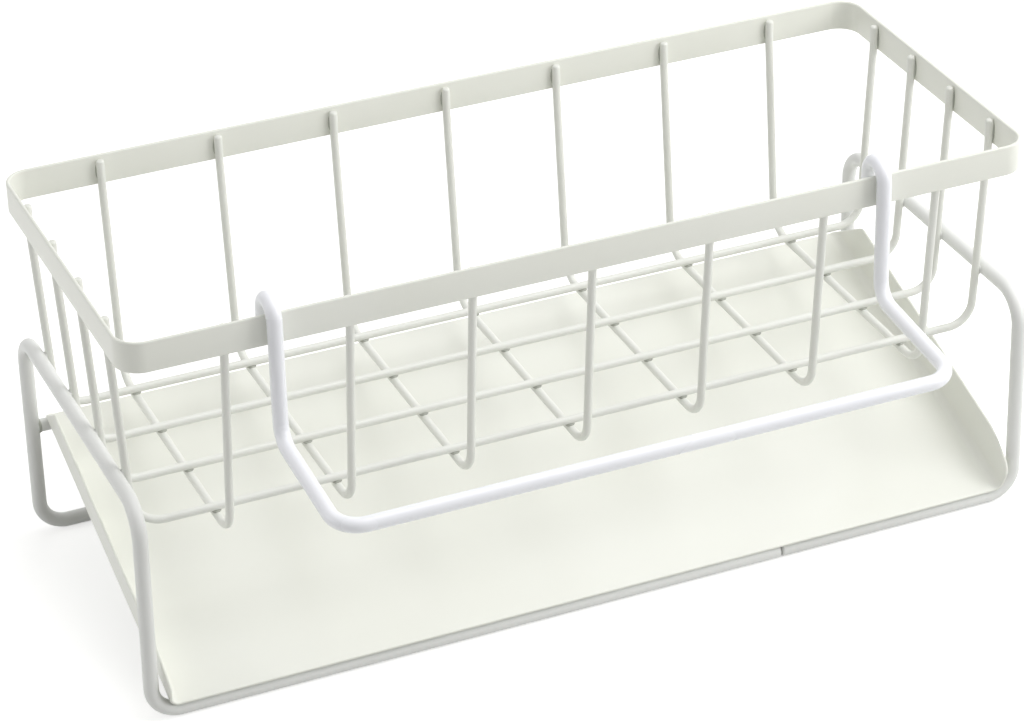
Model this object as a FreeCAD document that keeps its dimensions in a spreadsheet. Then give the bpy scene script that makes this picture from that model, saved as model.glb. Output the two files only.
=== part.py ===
import FreeCAD, Part
import math
import os
import Sketcher
from FreeCAD import Placement, Rotation, Vector

# Sponge holder: a wire basket with a strip rim, carried by one bent rod, over a sloping drip tray,
# with a towel bar hooked on the front of the rim. Millimetres, +X along the length, +Y to the rear,
# +Z up. The origin is on the counter, under the middle of the whole part's box.

CROSS_WIRE_COUNT = 7
LONG_WIRE_COUNT = 4

DRIVING_SIZES = [
    # rim strip
    ("rim_length", 250.0),
    ("rim_width", 100.0),
    ("rim_corner_radius", 7.0),
    ("band_height", 8.5),
    ("band_thickness", 1.0),
    # basket wires
    ("wire_diameter", 2.2),
    ("wire_top_drop", 1.0),
    ("weld_bend_radius", 8.0),
    ("basket_clearance", 43.1),
    ("basket_depth", 65.6),
    ("cross_wire_inset", 26.75),
    ("cross_wire_taper", 5.0),
    ("cross_corner_radius", 8.0),
    ("long_wire_inset", 17.9),
    ("long_wire_taper", 2.9),
    ("long_left_radius", 9.0),
    ("long_right_radius", 7.0),
    # rod frame
    ("rod_diameter", 4.0),
    ("rail_height", 62.4),
    ("frame_inset", 1.6),
    ("frame_lead", 2.4),
    ("front_leg_splay", 0.6),
    ("rear_leg_splay", 0.1),
    ("rail_bend_radius", 9.0),
    ("foot_bend_radius", 7.5),
    ("butt_place", 53.0),
    ("butt_gap", 0.4),
    ("rest_rod_diameter", 3.6),
    # drip tray
    ("tray_slope", 17.85),
    ("tray_thickness", 0.8),
    ("tray_front_lap", 1.25),
    ("tray_rear_lap", 0.8),
    ("tray_seat_gap", 0.3),
    ("tray_side_clearance", 0.45),
    ("tray_fold_radius", 2.5),
    ("flange_height", 12.6),
    ("flange_lean", 5.0),
    ("flange_rear_run", 11.0),
    ("flange_front_run", 12.0),
    ("flange_front_height", 8.5),
    # towel bar
    ("bar_diameter", 4.0),
    ("bar_span", 166.8),
    ("bar_shift", -3.1),
    ("bar_drop", 34.4),
    ("bar_reach", 39.5),
    ("bar_dip", 3.3),
    ("bar_knee_radius", 6.0),
    ("bar_corner_radius", 7.0),
    ("hook_clearance", 0.5),
    ("hook_seat_gap", 0.2),
    ("hook_width", 8.2),
    ("tail_length", 9.0),
]

# Places worked out from the driving sizes. Heights are above the counter.
LAYOUT = [
    # the box is centred on Y: the bar reaches furthest to the front, the rim to the rear
    ("basket_y", "(Sizes.hook_clearance + Sizes.bar_diameter + Sizes.bar_reach) / 2"),
    ("rim_top", "Sizes.basket_clearance + Sizes.basket_depth"),
    ("band_bottom", "rim_top - Sizes.band_height"),
    ("wire_top", "rim_top - Sizes.wire_top_drop"),
    # the long wires lie on the cross wires
    ("cross_wire_z", "Sizes.basket_clearance + Sizes.wire_diameter / 2"),
    ("long_wire_z", "cross_wire_z + Sizes.wire_diameter"),
    # wire ends lie against the inside of the band
    ("cross_top_half", "Sizes.rim_width / 2 - Sizes.band_thickness - Sizes.wire_diameter / 2"),
    ("long_top_half", "Sizes.rim_length / 2 - Sizes.band_thickness - Sizes.wire_diameter / 2"),
    # each wire narrows towards the basket's floor, and the wires are spread evenly inside the rim
    ("floor_half_width", "cross_top_half - Sizes.cross_wire_taper"),
    ("floor_half_length", "long_top_half - Sizes.long_wire_taper"),
    ("cross_wire_pitch", f"(Sizes.rim_length - 2 * Sizes.cross_wire_inset) / {CROSS_WIRE_COUNT - 1}"),
    ("long_wire_pitch", f"(Sizes.rim_width - 2 * Sizes.long_wire_inset) / {LONG_WIRE_COUNT - 1}"),
    # the side rails touch the outside of the long wires' leaning ends
    ("end_lean", "Sizes.long_wire_taper / (band_bottom - long_wire_z)"),
    ("wire_at_rail", "floor_half_length + end_lean * (Sizes.rail_height - long_wire_z)"),
    ("rail_x", "wire_at_rail + (Sizes.wire_diameter + Sizes.rod_diameter) / 2 * sqrt(1 + end_lean ^ 2)"),
    ("front_foot_x", "rail_x + Sizes.front_leg_splay"),
    ("rear_foot_x", "rail_x + Sizes.rear_leg_splay"),
    ("frame_depth", "Sizes.rim_width - 2 * Sizes.frame_inset"),
    ("front_leg_y", "basket_y - Sizes.frame_lead - frame_depth / 2"),
    ("rear_leg_y", "front_leg_y + frame_depth"),
    ("floor_rail_z", "Sizes.rod_diameter / 2"),
    # the tray's underside lies over the front floor rail and the rest rod at the tray's slope
    ("slope_cosine", "cos(Sizes.tray_slope * 1 deg)"),
    ("slope_sine", "sin(Sizes.tray_slope * 1 deg)"),
    ("front_seat", "Sizes.rod_diameter / 2 + Sizes.tray_seat_gap"),
    ("rear_seat", "Sizes.rest_rod_diameter / 2 + Sizes.tray_seat_gap"),
    ("rest_rod_rise", "(frame_depth * slope_sine + front_seat - rear_seat) / slope_cosine"),
    ("rest_rod_z", "floor_rail_z + rest_rod_rise"),
    ("tray_run", "(frame_depth + (front_seat - rear_seat) * slope_sine) / slope_cosine"),
    ("tray_length", "tray_run + Sizes.tray_front_lap + Sizes.tray_rear_lap"),
    # the flanges pass between the legs, which are closest together at the rails
    ("tray_half_width", "rail_x - Sizes.rod_diameter / 2 - Sizes.tray_side_clearance"),
    # the flanges' ends are trimmed on slants, which run on past the flanges' top edges
    ("trim_top", "Sizes.flange_height + Sizes.tray_thickness"),
    ("front_trim_run", "Sizes.flange_front_run * (trim_top - Sizes.flange_front_height)"
                       " / (Sizes.flange_height - Sizes.flange_front_height)"),
    ("rear_trim_run", "Sizes.flange_rear_run * (trim_top - Sizes.tray_thickness)"
                      " / (Sizes.flange_height - Sizes.tray_thickness)"),
    # the towel bar hangs just in front of the band
    ("bar_leg_y", "basket_y - Sizes.rim_width / 2 - Sizes.hook_clearance - Sizes.bar_diameter / 2"),
    ("bar_y", "bar_leg_y - Sizes.bar_reach"),
    ("bar_tail_y", "bar_leg_y + Sizes.hook_width"),
    ("hook_radius", "Sizes.hook_width / 2"),
    ("knee_z", "rim_top - Sizes.bar_drop"),
    ("bar_z", "knee_z - Sizes.bar_dip"),
]

# how a sketch numbers an edge's points and its own axes
START, END, CENTRE = range(1, 4)
ORIGIN, VERTICAL_AXIS = range(-1, -3, -1)


def add_sizes(doc):
    """Put the driving sizes into a spreadsheet, one alias each."""
    sheet = doc.addObject("Spreadsheet::Sheet", "Sizes")
    for row, (alias, number) in enumerate(DRIVING_SIZES, start=1):
        sheet.set(f"A{row}", alias)
        sheet.set(f"B{row}", str(number))
        sheet.setAlias(f"B{row}", alias)
    doc.recompute()
    return sheet


def add_layout(doc):
    """Work out the shared places from the sheet, each by its own expression."""
    layout = doc.addObject("App::VarSet", "Layout")
    for name, formula in LAYOUT:
        layout.addProperty("App::PropertyFloat", name, "Layout")
        layout.setExpression(name, formula)
    doc.recompute()
    return layout


def bind(item, **expressions):
    """Bind properties to expressions. A double underscore stands for a dot."""
    for name, expression in expressions.items():
        item.setExpression(name.replace("__", "."), expression)


def add_body(doc, label):
    """Start a sub-part as a body of its own."""
    body = doc.addObject("PartDesign::Body", label)
    body.Label = label
    return body


def add_sketch(body, plane, name):
    """Attach a sketch to one of the body's own origin planes."""
    sketch = body.newObject("Sketcher::SketchObject", f"{body.Name}_{name}")
    support = next(item for item in body.Origin.OriginFeatures if item.Role == plane)
    sketch.AttachmentSupport = [(support, "")]
    sketch.MapMode = "FlatFace"
    return sketch


def constrain(sketch, kind, *arguments, name=None, expression=None):
    """Add a constraint, and name and bind it if it is a dimension."""
    index = sketch.addConstraint(Sketcher.Constraint(kind, *arguments))
    if name:
        sketch.renameConstraint(index, name)
        sketch.setExpression(f"Constraints.{name}", expression)


def round_outline(sketch, length, width, radius, half_sizes, names):
    """Draw a rounded rectangle about the sketch's origin, bound to three expressions."""
    half_length, half_width, corner = half_sizes
    flat_x, flat_y = half_length - corner, half_width - corner
    axis = Vector(0, 0, 1)
    first = sketch.GeometryCount
    sides = [
        ((-flat_x, -half_width), (flat_x, -half_width)),
        ((half_length, -flat_y), (half_length, flat_y)),
        ((flat_x, half_width), (-flat_x, half_width)),
        ((-half_length, flat_y), (-half_length, -flat_y)),
    ]
    corners = [(flat_x, -flat_y), (flat_x, flat_y), (-flat_x, flat_y), (-flat_x, -flat_y)]
    for turn, (side, centre) in enumerate(zip(sides, corners)):
        sketch.addGeometry(Part.LineSegment(Vector(*side[0]), Vector(*side[1])))
        circle = Part.Circle(Vector(*centre), axis, corner)
        start = math.radians(90 * (turn - 1))
        sketch.addGeometry(Part.ArcOfCircle(circle, start, start + math.pi / 2))
    for turn in range(4):
        side, arc, following = first + 2 * turn, first + 2 * turn + 1, first + (2 * turn + 2) % 8
        constrain(sketch, "Tangent", side, END, arc, START)
        constrain(sketch, "Tangent", arc, END, following, START)
        if turn:
            constrain(sketch, "Equal", first + 1, arc)
    for side in (first, first + 4):
        constrain(sketch, "Horizontal", side)
        constrain(sketch, "Vertical", side + 2)
    constrain(sketch, "Symmetric", first + 1, CENTRE, first + 5, CENTRE, ORIGIN, START)
    constrain(sketch, "Radius", first + 1, corner, name=names[2], expression=radius)
    constrain(sketch, "DistanceX", ORIGIN, START, first + 2, START, half_length,
              name=names[0], expression=length)
    constrain(sketch, "DistanceY", first, START, ORIGIN, START, half_width,
              name=names[1], expression=width)


def build_rim_band(doc, size, layout):
    """Flat strip bent into a rounded rectangle, standing on edge."""
    body = add_body(doc, "rim_band")
    outline = add_sketch(body, "XY_Plane", "outline")
    outer = (size.rim_length / 2, size.rim_width / 2, size.rim_corner_radius)
    inner = tuple(value - size.band_thickness for value in outer)
    round_outline(outline, "Sizes.rim_length / 2", "Sizes.rim_width / 2", "Sizes.rim_corner_radius",
                  outer, ("outer_half_length", "outer_half_width", "outer_radius"))
    round_outline(outline, "Sizes.rim_length / 2 - Sizes.band_thickness",
                  "Sizes.rim_width / 2 - Sizes.band_thickness",
                  "Sizes.rim_corner_radius - Sizes.band_thickness",
                  inner, ("inner_half_length", "inner_half_width", "inner_radius"))
    strip = body.newObject("PartDesign::Pad", "rim_band_strip")
    strip.Profile = outline
    bind(strip, Length="Sizes.band_height")
    bind(body, Placement__Base__y="Layout.basket_y", Placement__Base__z="Layout.band_bottom")
    return body


def corner_arc(before, corner, after, radius):
    """Give an arc's centre and two angles where a path turns left at a corner, in a plane."""
    first = math.atan2(corner.y - before.y, corner.x - before.x)
    second = math.atan2(after.y - corner.y, after.x - corner.x)
    setback = radius * math.tan((second - first) / 2)
    start = corner + Vector(math.cos(first), math.sin(first)) * -setback
    centre = start + Vector(-math.sin(first), math.cos(first)) * radius
    return centre, first - math.pi / 2, second - math.pi / 2


def draw_u_path(sketch, half_top, half_floor, floor_z, bend, first_corner, last_corner, places):
    """Draw a U wire's centre line: weld stretch, leaning side, floor, side, weld stretch.

    The sides lean from the band's lower edge to the floor's corners, which are construction points.
    """
    top_u, floor_u, low, high, top, bend_radius, first_radius, last_radius = places
    points = [Vector(-top_u, top), Vector(-top_u, high), Vector(-floor_u, low),
              Vector(floor_u, low), Vector(top_u, high), Vector(top_u, top)]
    radii = [bend_radius, first_radius, last_radius, bend_radius]
    arcs = []
    for index, radius in enumerate(radii, start=1):
        centre, start, end = corner_arc(*points[index - 1:index + 2], radius)
        arcs.append(Part.ArcOfCircle(Part.Circle(centre, Vector(0, 0, 1), radius), start, end))
    ends = [points[0]]
    for arc in arcs:
        ends += [arc.StartPoint, arc.EndPoint]
    ends.append(points[-1])
    for run in range(5):
        sketch.addGeometry(Part.LineSegment(ends[2 * run], ends[2 * run + 1]))
        if run < 4:
            sketch.addGeometry(arcs[run])
    for joint in range(8):
        constrain(sketch, "Tangent", joint, END, joint + 1, START)
    marks = [sketch.addGeometry(Part.Point(point), True) for point in points[1:5]]
    for mark, first_line in zip(marks, (0, 2, 4, 6)):
        constrain(sketch, "PointOnObject", mark, START, first_line)
        constrain(sketch, "PointOnObject", mark, START, first_line + 2)
    constrain(sketch, "Vertical", 0)
    constrain(sketch, "Vertical", 8)
    constrain(sketch, "Horizontal", 4)
    constrain(sketch, "Equal", 1, 7)
    constrain(sketch, "Symmetric", 0, START, 8, END, VERTICAL_AXIS)
    constrain(sketch, "Radius", 1, bend_radius, name="bend_radius", expression=bend)
    constrain(sketch, "Radius", 3, first_radius, name="first_corner_radius", expression=first_corner)
    constrain(sketch, "Radius", 5, last_radius, name="last_corner_radius", expression=last_corner)
    constrain(sketch, "DistanceX", ORIGIN, START, 8, END, top_u, name="half_top", expression=half_top)
    constrain(sketch, "DistanceY", ORIGIN, START, 8, END, top, name="top", expression="Layout.wire_top")
    constrain(sketch, "DistanceY", ORIGIN, START, 4, START, low, name="floor", expression=floor_z)
    constrain(sketch, "DistanceX", marks[1], START, ORIGIN, START, floor_u,
              name="floor_start", expression=half_floor)
    constrain(sketch, "DistanceX", ORIGIN, START, marks[2], START, floor_u,
              name="floor_end", expression=half_floor)
    constrain(sketch, "DistanceY", ORIGIN, START, marks[0], START, high,
              name="bend_start", expression="Layout.band_bottom")
    constrain(sketch, "DistanceY", ORIGIN, START, marks[3], START, high,
              name="bend_end", expression="Layout.band_bottom")


def build_u_wire(doc, label, plane, expressions, places):
    """Sweep a round wire along a U path. It starts at the path's first end, which points down."""
    body = add_body(doc, label)
    path = add_sketch(body, plane, "path")
    draw_u_path(path, *expressions, places)
    section = add_sketch(body, "XY_Plane", "section")
    bind(section, AttachmentOffset__Base__z="Layout.wire_top")
    along_x = plane == "XZ_Plane"
    centre = Vector(-places[0], 0, 0) if along_x else Vector(0, -places[0], 0)
    size = doc.Sizes
    section.addGeometry(Part.Circle(centre, Vector(0, 0, 1), size.wire_diameter / 2))
    constrain(section, "Diameter", 0, size.wire_diameter,
              name="diameter", expression="Sizes.wire_diameter")
    constrain(section, "DistanceX" if along_x else "DistanceY", 0, CENTRE, ORIGIN, START, places[0],
              name="half_top", expression=expressions[0])
    constrain(section, "PointOnObject", 0, CENTRE, ORIGIN if along_x else VERTICAL_AXIS)
    doc.recompute()
    wire = body.newObject("PartDesign::AdditivePipe", f"{label}_sweep")
    wire.Profile = section
    wire.Spine = path
    return body


def build_cross_wires(doc, size, layout):
    """U wires from front to back, side by side along the basket."""
    expressions = ("Layout.cross_top_half", "Layout.floor_half_width", "Layout.cross_wire_z",
                   "Sizes.weld_bend_radius", "Sizes.cross_corner_radius", "Sizes.cross_corner_radius")
    places = (layout.cross_top_half, layout.floor_half_width, layout.cross_wire_z, layout.band_bottom,
              layout.wire_top, size.weld_bend_radius, size.cross_corner_radius, size.cross_corner_radius)
    wires = []
    for index in range(CROSS_WIRE_COUNT):
        body = build_u_wire(doc, f"cross_wire_{index + 1}", "YZ_Plane", expressions, places)
        steps = index - (CROSS_WIRE_COUNT - 1) / 2
        bind(body, Placement__Base__x=f"Layout.cross_wire_pitch * {steps}",
             Placement__Base__y="Layout.basket_y")
        wires.append(body)
    return wires


def build_long_wires(doc, size, layout):
    """U wires from end to end on top of the cross wires, from the rear to the front."""
    expressions = ("Layout.long_top_half", "Layout.floor_half_length", "Layout.long_wire_z",
                   "Sizes.weld_bend_radius", "Sizes.long_left_radius", "Sizes.long_right_radius")
    places = (layout.long_top_half, layout.floor_half_length, layout.long_wire_z, layout.band_bottom,
              layout.wire_top, size.weld_bend_radius, size.long_left_radius, size.long_right_radius)
    wires = []
    for index in range(LONG_WIRE_COUNT):
        body = build_u_wire(doc, f"long_wire_{index + 1}", "XZ_Plane", expressions, places)
        steps = (LONG_WIRE_COUNT - 1) / 2 - index
        bind(body, Placement__Base__y=f"Layout.basket_y + Layout.long_wire_pitch * {steps}")
        wires.append(body)
    return wires


def bent_path(points, radii):
    """Join straight runs by tangent arcs, one radius for each inner point."""
    edges = []
    reached = points[0]
    for index, radius in enumerate(radii, start=1):
        corner = points[index]
        back = (points[index - 1] - corner).normalize()
        ahead = (points[index + 1] - corner).normalize()
        half_angle = back.getAngle(ahead) / 2
        setback = radius / math.tan(half_angle)
        start, end = corner + back * setback, corner + ahead * setback
        middle_way = (back + ahead).normalize()
        middle = corner + middle_way * (radius / math.sin(half_angle) - radius)
        if reached.distanceToPoint(start) > 1e-6:
            edges.append(Part.LineSegment(reached, start).toShape())
        edges.append(Part.Arc(start, middle, end).toShape())
        reached = end
    edges.append(Part.LineSegment(reached, points[-1]).toShape())
    return Part.Wire(edges)


def build_bent_rod(doc, label, diameter, points, radii):
    """Sweep a round rod along a path that bends in three dimensions."""
    path = doc.addObject("Part::Feature", f"{label}_path")
    path.Shape = bent_path(points, radii)
    section = doc.addObject("Part::Circle", f"{label}_section")
    bind(section, Radius=f"Sizes.{diameter} / 2")
    section.Placement = Placement(points[0], Rotation(Vector(0, 0, 1), points[1] - points[0]))
    rod = doc.addObject("Part::Sweep", label)
    rod.Label = label
    rod.Sections = [section]
    rod.Spine = (path, [f"Edge{number + 1}" for number in range(len(path.Shape.Edges))])
    rod.Solid = True
    return rod


def build_base_frame(doc, size, layout):
    """One rod bent into a loop: floor rails, splayed legs and side rails, butted in the front rail."""
    front, rear = layout.front_leg_y, layout.rear_leg_y
    low, high = layout.floor_rail_z, size.rail_height
    rail, front_foot, rear_foot = layout.rail_x, layout.front_foot_x, layout.rear_foot_x
    points = [
        Vector(size.butt_place + size.butt_gap / 2, front, low),
        Vector(front_foot, front, low), Vector(rail, front, high),
        Vector(rail, rear, high), Vector(rear_foot, rear, low),
        Vector(-rear_foot, rear, low), Vector(-rail, rear, high),
        Vector(-rail, front, high), Vector(-front_foot, front, low),
        Vector(size.butt_place - size.butt_gap / 2, front, low),
    ]
    foot_bend, rail_bend = size.foot_bend_radius, size.rail_bend_radius
    radii = [foot_bend, rail_bend, rail_bend, foot_bend] * 2
    return build_bent_rod(doc, "base_frame", "rod_diameter", points, radii)


def build_tray_rest_rod(doc, size, layout, base_frame):
    """Straight rod between the rear legs, with its ends saddled to them."""
    blank = doc.addObject("Part::Cylinder", "tray_rest_rod_blank")
    leg_middle = ("(Layout.rail_x + Sizes.rear_leg_splay * (Sizes.rail_height - Layout.rest_rod_z)"
                  " / (Sizes.rail_height - Layout.floor_rail_z))")
    blank.Placement = Placement(Vector(), Rotation(Vector(0, 1, 0), 90))
    bind(blank, Radius="Sizes.rest_rod_diameter / 2", Height=f"2 * {leg_middle}",
         Placement__Base__x=f"-{leg_middle}", Placement__Base__y="Layout.rear_leg_y",
         Placement__Base__z="Layout.rest_rod_z")
    rod = doc.addObject("Part::Cut", "tray_rest_rod")
    rod.Label = "tray_rest_rod"
    rod.Base = blank
    rod.Tool = base_frame
    return rod


def draw_tray_section(sketch, size, layout):
    """Draw the right half of the folded sheet, seen along the slope, with the floor's underside at 0."""
    lean = math.radians(size.flange_lean)
    sheet, inner = size.tray_thickness, size.tray_fold_radius
    outer = inner + sheet
    top = Vector(layout.tray_half_width, size.flange_height)
    fold = Vector(top.x - top.y * math.tan(lean), 0)
    setback = outer * math.tan((math.pi / 2 - lean) / 2)
    centre = Vector(fold.x - setback, outer)
    outward = Vector(math.cos(lean), -math.sin(lean))
    start_angle, end_angle = -math.pi / 2, -lean
    top_inner = top - outward * sheet
    axis = Vector(0, 0, 1)
    sketch.addGeometry([
        Part.LineSegment(Vector(0, 0), Vector(centre.x, 0)),
        Part.ArcOfCircle(Part.Circle(centre, axis, outer), start_angle, end_angle),
        Part.LineSegment(centre + outward * outer, top),
        Part.LineSegment(top, top_inner),
        Part.LineSegment(top_inner, centre + outward * inner),
        Part.ArcOfCircle(Part.Circle(centre, axis, inner), start_angle, end_angle),
        Part.LineSegment(Vector(centre.x, sheet), Vector(0, sheet)),
        Part.LineSegment(Vector(0, sheet), Vector(0, 0)),
    ])
    constrain(sketch, "Tangent", 0, END, 1, START)
    constrain(sketch, "Tangent", 1, END, 2, START)
    constrain(sketch, "Coincident", 2, END, 3, START)
    constrain(sketch, "Coincident", 3, END, 4, START)
    constrain(sketch, "Tangent", 4, END, 5, END)
    constrain(sketch, "Tangent", 5, START, 6, START)
    constrain(sketch, "Coincident", 6, END, 7, START)
    constrain(sketch, "Coincident", 7, END, 0, START)
    constrain(sketch, "Coincident", 0, START, ORIGIN, START)
    constrain(sketch, "Coincident", 1, CENTRE, 5, CENTRE)
    constrain(sketch, "Horizontal", 0)
    constrain(sketch, "Horizontal", 6)
    constrain(sketch, "Vertical", 7)
    constrain(sketch, "Parallel", 2, 4)
    constrain(sketch, "Perpendicular", 2, 3)
    constrain(sketch, "DistanceY", 7, END, 7, START, sheet,
              name="thickness", expression="Sizes.tray_thickness")
    constrain(sketch, "Radius", 5, inner, name="fold_radius", expression="Sizes.tray_fold_radius")
    constrain(sketch, "DistanceX", ORIGIN, START, 2, END, top.x,
              name="half_width", expression="Layout.tray_half_width")
    constrain(sketch, "DistanceY", ORIGIN, START, 2, END, top.y,
              name="flange_height", expression="Sizes.flange_height")
    constrain(sketch, "Angle", 0, START, 2, START, math.pi / 2 - lean,
              name="flange_angle", expression="90 deg - Sizes.flange_lean * 1 deg")


def draw_end_cut(sketch, prefix, corners, expressions):
    """Draw a triangle that trims a flange's end, from a point on the end up and along the top."""
    first = sketch.GeometryCount
    for start, end in zip(corners, corners[1:] + corners[:1]):
        sketch.addGeometry(Part.LineSegment(start, end))
    for side in range(3):
        constrain(sketch, "Coincident", first + side, END, first + (side + 1) % 3, START)
    constrain(sketch, "Vertical", first)
    constrain(sketch, "Horizontal", first + 1)
    low, high, back = corners
    places = [
        ("end", "DistanceX", first, START, low.x),
        ("low", "DistanceY", first, START, low.y),
        ("high", "DistanceY", first, END, high.y),
        ("run", "DistanceX", first + 1, END, back.x),
    ]
    for (word, kind, line, end, distance), expression in zip(places, expressions):
        constrain(sketch, kind, ORIGIN, START, line, end, distance,
                  name=f"{prefix}_{word}", expression=expression)


def build_drip_tray(doc, size, layout):
    """Folded sheet with a leaning flange at each side, trimmed on a slant at the flanges' ends.

    Its own origin is where the underside lies over the middle of the front floor rail.
    """
    body = add_body(doc, "drip_tray")
    section = add_sketch(body, "XZ_Plane", "section")
    draw_tray_section(section, size, layout)
    bind(section, AttachmentOffset__Base__z="Sizes.tray_front_lap")
    half = body.newObject("PartDesign::Pad", "drip_tray_half")
    half.Profile = section
    half.Reversed = True
    bind(half, Length="Layout.tray_length")
    doc.recompute()
    both = body.newObject("PartDesign::Mirrored", "drip_tray_both")
    both.Originals = [half]
    middle = next(item for item in body.Origin.OriginFeatures if item.Role == "YZ_Plane")
    both.MirrorPlane = (middle, [""])
    body.Tip = both
    doc.recompute()
    front, rear = -size.tray_front_lap, layout.tray_length - size.tray_front_lap
    above = layout.trim_top
    cuts = add_sketch(body, "YZ_Plane", "end_cuts")
    draw_end_cut(cuts, "front", [Vector(front, size.flange_front_height), Vector(front, above),
                                 Vector(front + layout.front_trim_run, above)],
                 ("-Sizes.tray_front_lap", "Sizes.flange_front_height", "Layout.trim_top",
                  "Layout.front_trim_run - Sizes.tray_front_lap"))
    draw_end_cut(cuts, "rear", [Vector(rear, size.tray_thickness), Vector(rear, above),
                                Vector(rear - layout.rear_trim_run, above)],
                 ("Layout.tray_length - Sizes.tray_front_lap", "Sizes.tray_thickness", "Layout.trim_top",
                  "Layout.tray_length - Sizes.tray_front_lap - Layout.rear_trim_run"))
    trim = body.newObject("PartDesign::Pocket", "drip_tray_trim")
    trim.Profile = cuts
    trim.Type = "ThroughAll"
    trim.Midplane = True
    body.Placement = Placement(Vector(), Rotation(Vector(1, 0, 0), size.tray_slope))
    bind(body, Placement__Rotation__Angle="Sizes.tray_slope * 1 deg",
         Placement__Base__y="Layout.front_leg_y - Layout.front_seat * Layout.slope_sine",
         Placement__Base__z="Layout.floor_rail_z + Layout.front_seat * Layout.slope_cosine")
    return body


def build_towel_bar(doc, size, layout):
    """Rod with a hook, a leg and a forward arm at each side, joined by the bar in front."""
    leg, tail, bar = layout.bar_leg_y, layout.bar_tail_y, layout.bar_y
    inside_hook = layout.hook_radius - size.bar_diameter / 2
    # the band's front top edge lies inside the hook's round, this far in front of its middle
    edge = layout.hook_radius - size.hook_clearance - size.bar_diameter / 2
    rise = math.sqrt(max((inside_hook - size.hook_seat_gap) ** 2 - edge ** 2, 0.0))
    middle_z = layout.rim_top - rise
    crest = middle_z + layout.hook_radius
    left, right = (size.bar_shift + side * size.bar_span / 2 for side in (-1, 1))
    half = [(tail, middle_z - size.tail_length), (tail, crest), (leg, crest), (leg, layout.knee_z),
            (bar, layout.bar_z)]
    points = [Vector(left, y, z) for y, z in half] + [Vector(right, y, z) for y, z in reversed(half)]
    turns = [layout.hook_radius, layout.hook_radius, size.bar_knee_radius, size.bar_corner_radius]
    return build_bent_rod(doc, "towel_bar", "bar_diameter", points, turns + turns[::-1])


def check_document(doc, parts):
    """Stop if an object failed to compute or a sub-part isn't one valid solid."""
    for item in doc.Objects:
        if "Invalid" in item.State or "Error" in item.State:
            raise RuntimeError(f"{item.Label} did not compute: {item.State}")
    for part in parts:
        if part.Shape.isNull() or not part.Shape.isValid() or len(part.Shape.Solids) != 1:
            raise RuntimeError(f"{part.Label} isn't one valid solid")


def write_parts(parts):
    """Write each sub-part to its own file, named by its label."""
    os.makedirs("parts", exist_ok=True)
    for part in parts:
        part.Shape.exportStep(f"parts/{part.Label}.step")
        box = part.Shape.BoundBox
        print(f"{part.Label}: {part.Shape.Volume:.1f} mm3, X {box.XMin:.2f} to {box.XMax:.2f},"
              f" Y {box.YMin:.2f} to {box.YMax:.2f}, Z {box.ZMin:.2f} to {box.ZMax:.2f}")


def main():
    """Build the sponge holder and write its sub-parts."""
    doc = FreeCAD.newDocument("sponge_holder")
    size = add_sizes(doc)
    layout = add_layout(doc)
    parts = [build_rim_band(doc, size, layout)]
    parts += build_cross_wires(doc, size, layout)
    parts += build_long_wires(doc, size, layout)
    base_frame = build_base_frame(doc, size, layout)
    parts += [base_frame, build_tray_rest_rod(doc, size, layout, base_frame)]
    parts += [build_drip_tray(doc, size, layout), build_towel_bar(doc, size, layout)]
    doc.recompute()
    check_document(doc, parts)
    write_parts(parts)


main()
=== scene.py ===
"""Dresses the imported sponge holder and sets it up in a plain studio.

Every piece is a surface worked out with numpy in the part's own frame: millimetres, origin on the
counter under the middle of the box, +X along the basket, +Y to the rear, +Z up.
"""

import logging
import math
from dataclasses import dataclass
from enum import Enum

import bpy
import numpy as np
from mathutils import Matrix, Vector


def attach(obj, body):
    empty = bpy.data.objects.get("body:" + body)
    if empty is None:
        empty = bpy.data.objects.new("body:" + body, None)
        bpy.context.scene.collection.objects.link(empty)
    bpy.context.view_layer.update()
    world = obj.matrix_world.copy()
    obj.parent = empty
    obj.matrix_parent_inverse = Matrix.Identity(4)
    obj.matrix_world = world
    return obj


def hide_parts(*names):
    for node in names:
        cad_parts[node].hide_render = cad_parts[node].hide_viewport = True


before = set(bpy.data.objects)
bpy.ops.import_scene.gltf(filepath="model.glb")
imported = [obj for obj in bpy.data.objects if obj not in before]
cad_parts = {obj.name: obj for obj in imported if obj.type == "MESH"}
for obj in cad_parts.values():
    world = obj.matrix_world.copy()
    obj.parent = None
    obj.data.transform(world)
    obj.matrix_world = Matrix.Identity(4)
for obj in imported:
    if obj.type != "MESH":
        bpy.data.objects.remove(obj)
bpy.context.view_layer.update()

METRES = 0.001
SAME_SPOT_MM = 1e-6
EDGE_ATTRIBUTE = "coat_edge"
UP = np.array([0.0, 0.0, 1.0])

log = logging.getLogger("sponge_holder")


class Body(Enum):
    """CAD bodies that pieces ride on."""

    RACK = "rack"
    TRAY = "tray"
    TOWEL_RAIL = "towel_rail"


class Slot(Enum):
    """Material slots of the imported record."""

    CREAM = "cream_coated_steel"
    WHITE = "white_coated_steel"


# Surfaces


@dataclass
class Surface:
    """A closed skin: points in mm, faces, and how close each point is to a thinly coated edge."""

    points: np.ndarray
    quads: np.ndarray
    triangles: np.ndarray
    edge: np.ndarray

    def to_object(self, name: str) -> bpy.types.Object:
        """Make a smooth-shaded mesh object at the origin.

        Args:
            name: Name of the piece.

        Returns:
            The linked object.
        """
        mesh = bpy.data.meshes.new(name)
        faces = self.quads.tolist() + self.triangles.tolist()
        mesh.from_pydata((self.points * METRES).tolist(), [], faces)
        mesh.polygons.foreach_set("use_smooth", np.ones(len(faces), dtype=bool))
        layer = mesh.attributes.new(EDGE_ATTRIBUTE, "FLOAT", "POINT")
        layer.data.foreach_set("value", self.edge.astype(np.float32))
        mesh.update()
        piece = bpy.data.objects.new(name, mesh)
        bpy.context.scene.collection.objects.link(piece)
        return piece


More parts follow.
